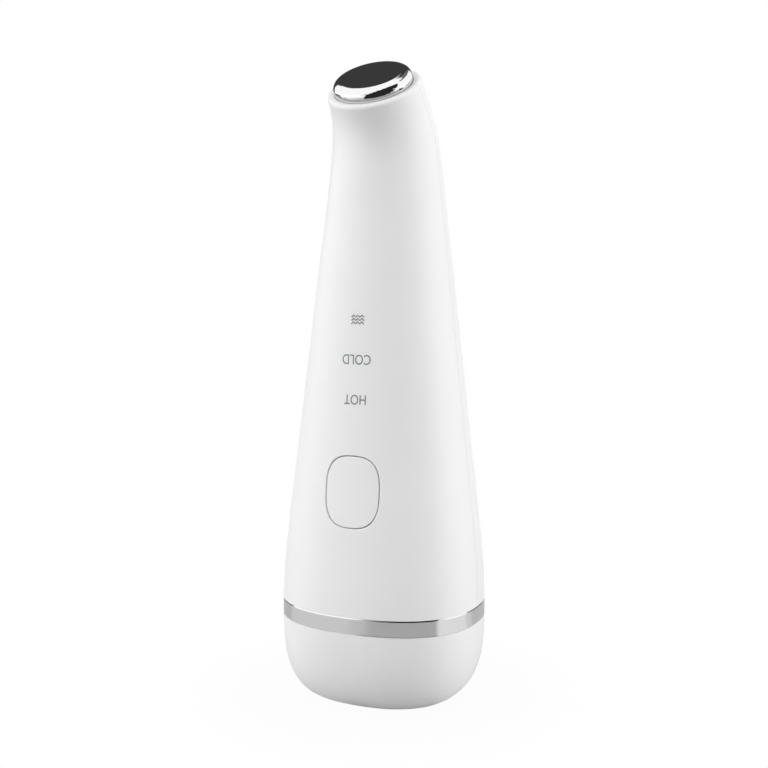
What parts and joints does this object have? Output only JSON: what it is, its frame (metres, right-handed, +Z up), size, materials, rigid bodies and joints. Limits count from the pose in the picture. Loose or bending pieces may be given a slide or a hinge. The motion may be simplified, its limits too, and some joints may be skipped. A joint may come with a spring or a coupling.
{
  "type": "hot and cold facial wand",
  "caption": "Hand-held skin-care wand with a tilted mirror-metal contact head, tapering white body, front push button, metal trim band and rounded base that it stands on.",
  "frame": {"origin": "centre of the foot pad's underside, on the surface that the wand stands on", "axes": "+Z up along the wand; -Y is the front, with the button and the tilted contact plate; +X to the right seen from the front"},
  "size_m": [0.05, 0.043, 0.1562],
  "materials": {
    "white_shell": "satin white moulded plastic",
    "trim_metal": "satin bright metal band",
    "mirror_plate": "mirror-polished metal contact plate",
    "grey_silicone": "soft matt silicone",
    "thermal_pad": "soft thermal pad",
    "steel": "plain steel",
    "dense_metal": "sintered heavy metal",
    "ceramic": null,
    "pellets": "thermoelectric pellets",
    "bare_aluminium": "bare extruded aluminium",
    "black_plastic": "black moulded plastic",
    "grey_plastic": "grey moulded plastic",
    "white_plastic": "white moulded plastic",
    "clear_plastic": "milky diffuser plastic",
    "board": "green circuit board",
    "cell_wrap": "shrink-wrapped battery cell"
  },
  "bodies": {
    "case": {"base_cup": "white_shell", "base_screws": "steel", "battery_cell": "cell_wrap", "battery_tabs": "steel", "board_connector": "white_plastic", "charge_board": "board", "charge_board_screws": "steel", "charging_socket": "steel", "chassis": "grey_plastic", "chassis_screws": "steel", "clamp_ring": "black_plastic", "clamp_screws": "steel", "cold_ceramic": "ceramic", "control_chip": "black_plastic", "foot_pad": "grey_silicone", "front_housing": "white_shell", "heat_sink": "bare_aluminium", "hot_ceramic": "ceramic", "indicator_lights": "white_plastic", "light_diffusers": "clear_plastic", "light_shroud": "black_plastic", "main_board": "board", "mode_switch": "black_plastic", "motor_sleeve": "grey_silicone", "plate_seal": "grey_silicone", "power_inductor": "black_plastic", "rear_housing": "white_shell", "temperature_sensor": "black_plastic", "thermal_pad": "thermal_pad", "thermo_pellets": "pellets", "treatment_plate": "mirror_plate", "trim_band": "trim_metal", "vibration_motor": "steel"},
    "button": {"mode_button": "white_shell"},
    "plunger": {"switch_plunger": "black_plastic"},
    "rotor": {"motor_shaft": "steel", "eccentric_weight": "dense_metal"}
  },
  "joints": [
    {"name": "button_press", "type": "slide", "parent": "case", "child": "button", "axis": [0, 1, 0], "range_m": [0, 0.0006], "stiffness_N_per_m": 3300},
    {"name": "plunger_press", "type": "slide", "parent": "case", "child": "plunger", "axis": [0, 1, 0], "range_m": [0, 0.0006]},
    {"name": "rotor_spin", "type": "hinge", "parent": "case", "child": "rotor", "pos_m": [0, 0.0016, 0.1243], "axis": [0, 0, 1], "continuous": true}
  ],
  "couplings": [
    {"joint": "plunger_press", "follows": "button_press", "ratio": 1}
  ]
}
